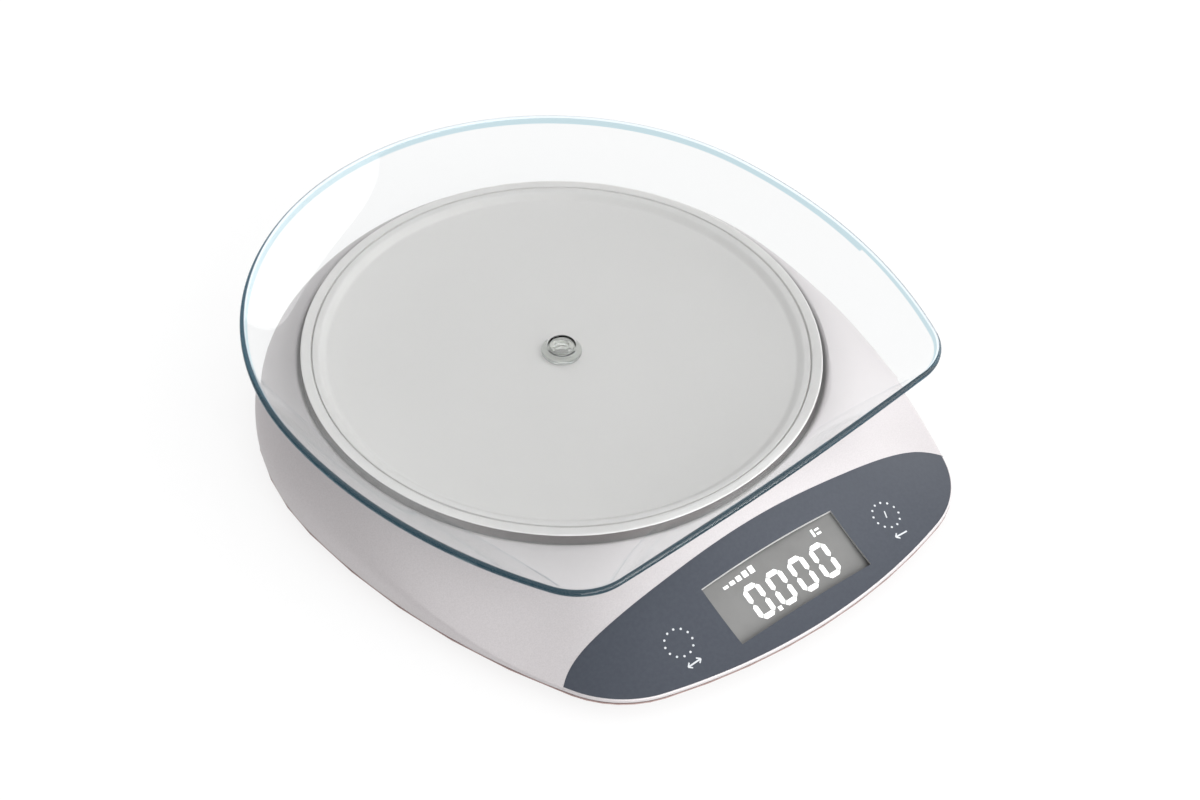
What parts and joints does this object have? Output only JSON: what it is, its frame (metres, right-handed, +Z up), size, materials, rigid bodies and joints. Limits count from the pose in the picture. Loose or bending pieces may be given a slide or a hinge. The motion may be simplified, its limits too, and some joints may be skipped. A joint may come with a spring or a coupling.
{
  "type": "kitchen scale",
  "caption": "Flat kitchen scale with a lift-off dished glass tray on a round weighing platform, a sloped front panel with a display and touch keys, and a battery bay underneath.",
  "frame": {"origin": "middle of the base of the whole scale, on the table", "axes": "+Z up, +Y from the front panel to the back, +X to the right of someone reading the display"},
  "size_m": [0.1918, 0.2174, 0.0418],
  "materials": {
    "tray_glass": "clear tempered glass, polished edge",
    "clear_silicone": "clear moulded silicone",
    "platform_grey": "satin grey, slightly metallic",
    "silver_plastic": "satin silver lacquer",
    "slate_panel": "slate printed panel, satin gloss",
    "base_plastic": "fine moulded texture",
    "black_plastic": "moulded",
    "cell_aluminium": "milled",
    "white_seal": "soft white sealant",
    "white_plastic": "moulded",
    "bright_steel": "zinc plated",
    "display_grey": "grey negative display",
    "copper_foil": "plain foil",
    "board_green": "solder mask",
    "foot_rubber": "soft matt",
    "battery_sleeve": "printed sleeve",
    "lead_red": "wire insulation",
    "lead_black": "wire insulation",
    "lead_green": "wire insulation",
    "lead_white": "wire insulation"
  },
  "bodies": {
    "housing": {"load_cell": "cell_aluminium", "gauge_seal_top": "white_seal", "gauge_seal_bottom": "white_seal", "cell_base_spacer": "bright_steel", "cell_base_screw_1": "bright_steel", "cell_base_screw_2": "bright_steel", "top_housing": "silver_plastic", "front_panel": "slate_panel", "bottom_housing": "base_plastic", "foot_1": "foot_rubber", "foot_2": "foot_rubber", "foot_3": "foot_rubber", "foot_4": "foot_rubber", "housing_screw_1": "bright_steel", "housing_screw_2": "bright_steel", "housing_screw_3": "bright_steel", "housing_screw_4": "bright_steel", "housing_screw_5": "bright_steel", "display_glass": "display_grey", "display_backlight": "white_plastic", "display_frame": "black_plastic", "display_ribbon": "copper_foil", "main_board": "board_green", "board_screw_1": "bright_steel", "board_screw_2": "bright_steel", "board_screw_3": "bright_steel", "controller_blob": "black_plastic", "cell_connector": "white_plastic", "battery_connector": "white_plastic", "touch_pad_left": "copper_foil", "touch_lead_left": "lead_black", "touch_pad_right": "copper_foil", "touch_lead_right": "lead_black", "cell_lead_red": "lead_red", "cell_lead_black": "lead_black", "cell_lead_green": "lead_green", "cell_lead_white": "lead_white", "battery_lead_red": "lead_red", "battery_lead_black": "lead_black", "battery_1": "battery_sleeve", "battery_spring_1": "bright_steel", "battery_2": "battery_sleeve", "battery_spring_2": "bright_steel", "battery_bridge": "bright_steel", "battery_contact_left": "bright_steel", "battery_contact_right": "bright_steel"},
    "platform": {"platform": "platform_grey", "platform_carrier": "black_plastic", "cell_top_spacer": "bright_steel", "platform_screw_1": "bright_steel", "platform_screw_2": "bright_steel", "platform_screw_3": "bright_steel", "platform_screw_4": "bright_steel", "cell_top_screw_1": "bright_steel", "cell_top_screw_2": "bright_steel"},
    "peg": {"centre_peg": "clear_silicone"},
    "tray": {"glass_tray": "tray_glass"},
    "door": {"battery_door": "base_plastic"}
  },
  "joints": [
    {"name": "platform_press", "type": "slide", "parent": "housing", "child": "platform", "axis": [0, 0, -1], "range_m": [0, 0.00025], "stiffness_N_per_m": 100000},
    {"name": "tray_turn", "type": "hinge", "parent": "platform", "child": "peg", "pos_m": [-0.00043, 0.01103, 0.027], "axis": [0, 0, 1], "continuous": true},
    {"name": "tray_lift", "type": "slide", "parent": "peg", "child": "tray", "axis": [0, 0, 1], "range_m": [0, 0.06]},
    {"name": "battery_door_hinge", "type": "hinge", "parent": "housing", "child": "door", "pos_m": [0.03657, -0.01357, 0.0016], "axis": [-1, 0, 0], "range_deg": [0, 80]}
  ]
}
